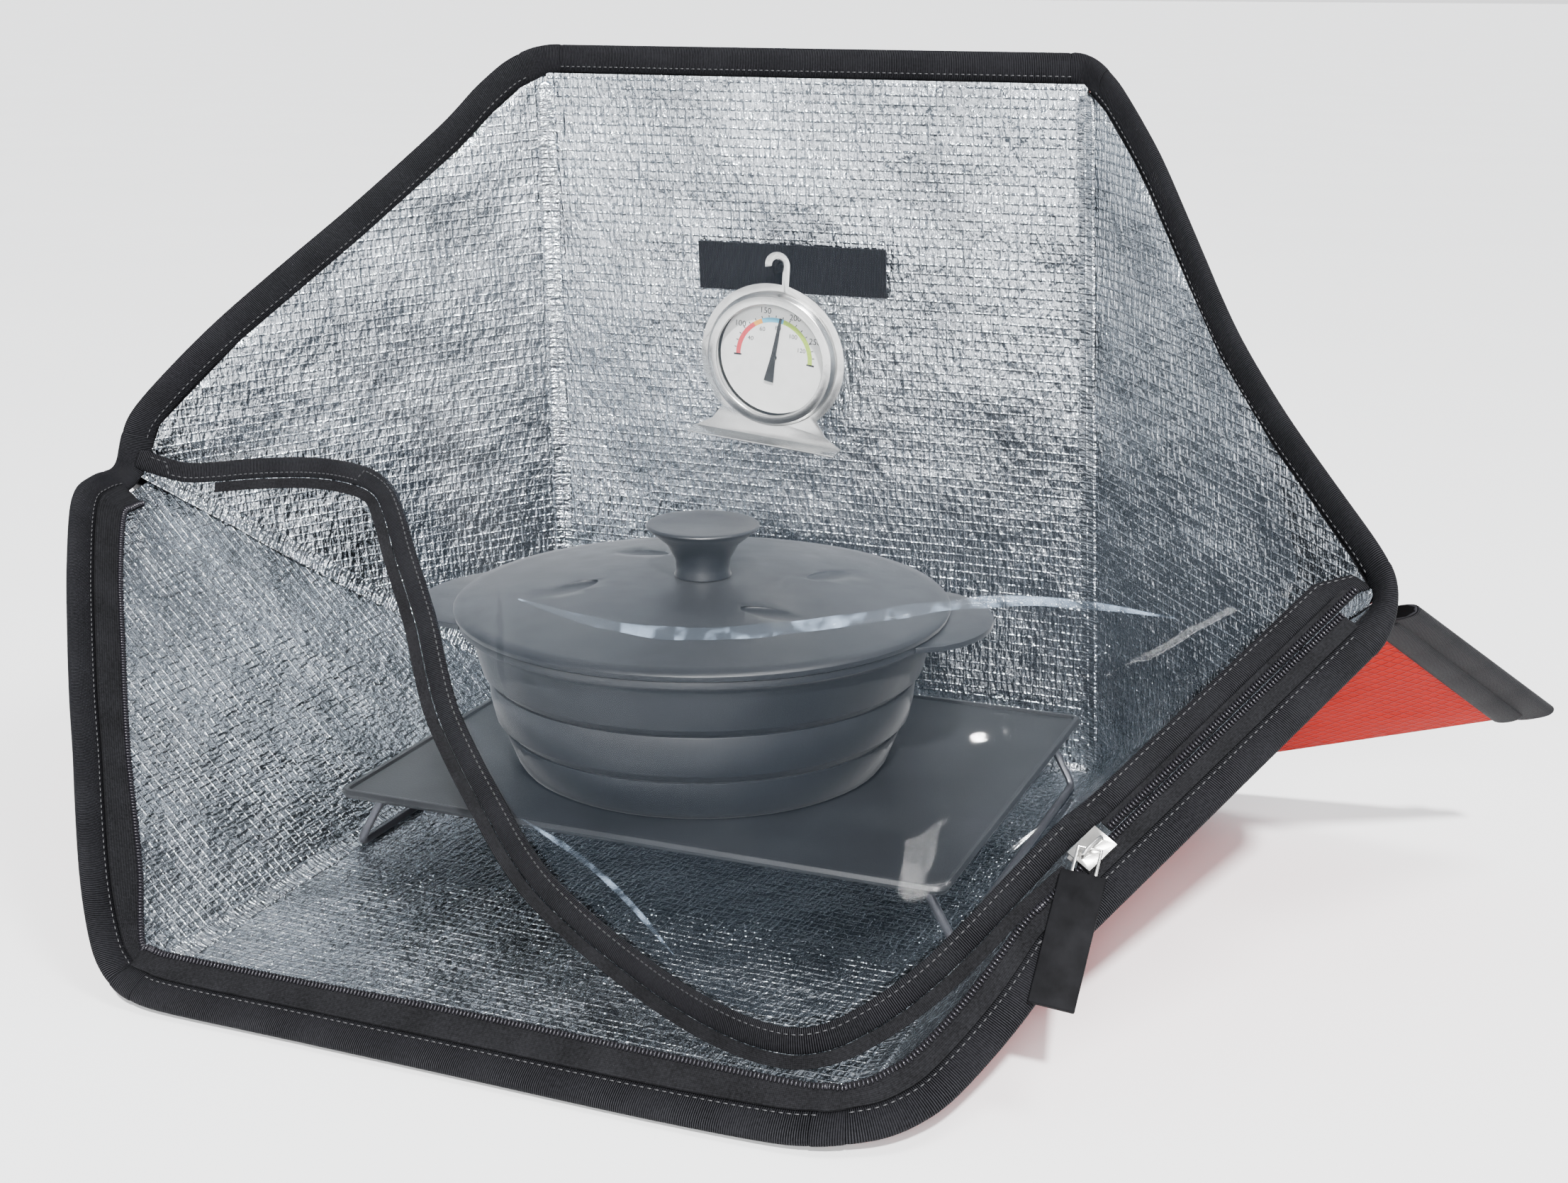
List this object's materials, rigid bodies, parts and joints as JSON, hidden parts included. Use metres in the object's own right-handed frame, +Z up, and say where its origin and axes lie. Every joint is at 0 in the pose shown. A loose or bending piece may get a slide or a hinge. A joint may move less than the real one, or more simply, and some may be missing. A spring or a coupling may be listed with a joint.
{
  "type": "solar oven",
  "caption": "Folding fabric solar oven with foil-lined side wings, a zipped clear window, a thermometer, and a lidded collapsible pot on a wire-legged tray.",
  "frame": {"origin": "middle of the whole oven's outline on the ground it stands on", "axes": "+Z up; +X to the right, along the front edge of the floor; -Y towards the front, where the window's zip runs along the floor's edge"},
  "size_m": [0.7386, 0.4002, 0.3654],
  "materials": {
    "foil_liner": "metallised film with a fine embossed pattern",
    "panel_core": "soft closed cell padding",
    "red_cover": "red ripstop weave",
    "binding": "black ribbed grosgrain",
    "zip_tape": "black woven tape with a moulded coil",
    "clear_sheet": "clear glossy soft film",
    "nickel": "bright nickel plate",
    "tab_rubber": "matt moulded rubber",
    "gauge_steel": "bright stamped stainless steel",
    "gauge_glass": "clear",
    "dial_white": "white lacquer with a printed scale",
    "spring_brass": "drawn strip",
    "pointer_black": "matt black lacquer",
    "tray_coating": "dark non-stick coating",
    "leg_wire": "dark drawn steel wire",
    "silicone": "matt charcoal silicone"
  },
  "bodies": {
    "floor": {"floor_liner": "foil_liner", "floor_core": "panel_core", "floor_cover": "red_cover", "front_binding": "binding", "front_zip": "zip_tape"},
    "reflector": {"back_liner": "foil_liner", "back_core": "panel_core", "back_cover": "red_cover", "top_binding": "binding", "label_strip": "binding", "hang_loop": "binding", "window_sheet": "clear_sheet", "window_binding": "binding", "window_zip": "zip_tape"},
    "upper_left": {"upper_left_liner": "foil_liner", "upper_left_core": "panel_core", "upper_left_cover": "red_cover", "upper_left_binding": "binding"},
    "upper_right": {"upper_right_liner": "foil_liner", "upper_right_core": "panel_core", "upper_right_cover": "red_cover", "upper_right_binding": "binding"},
    "lower_left": {"lower_left_liner": "foil_liner", "lower_left_core": "panel_core", "lower_left_cover": "red_cover", "lower_left_binding": "binding", "lower_left_zip": "zip_tape", "gusset_left": "red_cover", "gusset_left_binding": "binding"},
    "lower_right": {"lower_right_liner": "foil_liner", "lower_right_core": "panel_core", "lower_right_cover": "red_cover", "lower_right_binding": "binding", "lower_right_zip": "zip_tape", "gusset_right": "red_cover", "gusset_right_binding": "binding", "closed_zip": "zip_tape", "closed_binding": "binding"},
    "slider": {"zip_slider": "nickel"},
    "tab": {"puller": "nickel", "pull_tab": "tab_rubber"},
    "gauge": {"gauge_stand": "gauge_steel", "gauge_case": "gauge_steel", "gauge_bezel": "gauge_steel", "gauge_lens": "gauge_glass", "gauge_dial": "dial_white", "gauge_spiral": "spring_brass"},
    "pointer": {"gauge_pointer": "pointer_black"},
    "tray": {"tray_pan": "tray_coating", "tray_leg_left": "leg_wire", "tray_leg_right": "leg_wire"},
    "pot": {"pot_base": "silicone", "pot_web_lower": "silicone", "pot_web_upper": "silicone"},
    "pot_middle": {"pot_band": "silicone"},
    "pot_top": {"pot_rim": "silicone"},
    "pot_lid": {"lid": "silicone", "lid_knob": "silicone", "knob_screw": "gauge_steel"}
  },
  "joints": [
    {"name": "reflector_lean", "type": "hinge", "parent": "floor", "child": "reflector", "pos_m": [0, 0.19512, 0.005], "axis": [1, 0, 0], "range_deg": [-8, 1], "deforming": ["window_sheet", "window_binding", "window_zip"]},
    {"name": "upper_left_wing", "type": "hinge", "parent": "reflector", "child": "upper_left", "pos_m": [-0.15, 0.19512, 0.005], "axis": [0.0286, -0.0922, 0.9953], "range_deg": [-1, 8]},
    {"name": "upper_right_wing", "type": "hinge", "parent": "reflector", "child": "upper_right", "pos_m": [0.15, 0.19512, 0.005], "axis": [-0.0286, -0.0922, 0.9953], "range_deg": [-8, 1]},
    {"name": "lower_left_wing", "type": "hinge", "parent": "floor", "child": "lower_left", "pos_m": [-0.15, 0.19512, 0.005], "axis": [0, 1, 0], "range_deg": [-1, 8]},
    {"name": "lower_right_wing", "type": "hinge", "parent": "floor", "child": "lower_right", "pos_m": [0.15, 0.19512, 0.005], "axis": [0, 1, 0], "range_deg": [-8, 1]},
    {"name": "zip_travel", "type": "slide", "parent": "lower_right", "child": "slider", "axis": [0.499, 0.697, 0.515], "range_m": [-0.018, 0.105], "deforming": ["closed_zip", "closed_binding"]},
    {"name": "tab_swing", "type": "hinge", "parent": "slider", "child": "tab", "pos_m": [0.21637, -0.09691, 0.08852], "axis": [-0.9883, -0.0901, 0.1233], "range_deg": [0, 120]},
    {"name": "gauge_swing", "type": "hinge", "parent": "reflector", "child": "gauge", "pos_m": [-0.0111, 0.17118, 0.2634], "axis": [0, -0.9957, -0.0923], "range_deg": [-20, 20]},
    {"name": "pointer_turn", "type": "hinge", "parent": "gauge", "child": "pointer", "pos_m": [-0.01553, 0.17559, 0.21581], "axis": [0, -0.9957, -0.0923], "range_deg": [-135, 135], "stiffness_Nm_per_rad": 0.0005},
    {"name": "tray_lift", "type": "slide", "parent": "floor", "child": "tray", "axis": [0, -0.6428, 0.766], "range_m": [0, 0.5]},
    {"name": "pot_lift", "type": "slide", "parent": "tray", "child": "pot", "axis": [0, -0.6428, 0.766], "range_m": [0, 0.5]},
    {"name": "pot_collapse", "type": "slide", "parent": "pot", "child": "pot_top", "axis": [0, 0, -1], "range_m": [0, 0.038], "deforming": ["pot_web_lower", "pot_web_upper"]},
    {"name": "pot_middle_collapse", "type": "slide", "parent": "pot", "child": "pot_middle", "axis": [0, 0, -1], "range_m": [0, 0.019]},
    {"name": "lid_lift", "type": "slide", "parent": "pot_top", "child": "pot_lid", "axis": [0, -0.6428, 0.766], "range_m": [0, 0.35]}
  ],
  "couplings": [
    {"joint": "upper_left_wing", "follows": "reflector_lean", "ratio": -1},
    {"joint": "upper_right_wing", "follows": "reflector_lean", "ratio": 1},
    {"joint": "lower_left_wing", "follows": "reflector_lean", "ratio": -1},
    {"joint": "lower_right_wing", "follows": "reflector_lean", "ratio": 1},
    {"joint": "pot_middle_collapse", "follows": "pot_collapse", "ratio": 0.5}
  ]
}
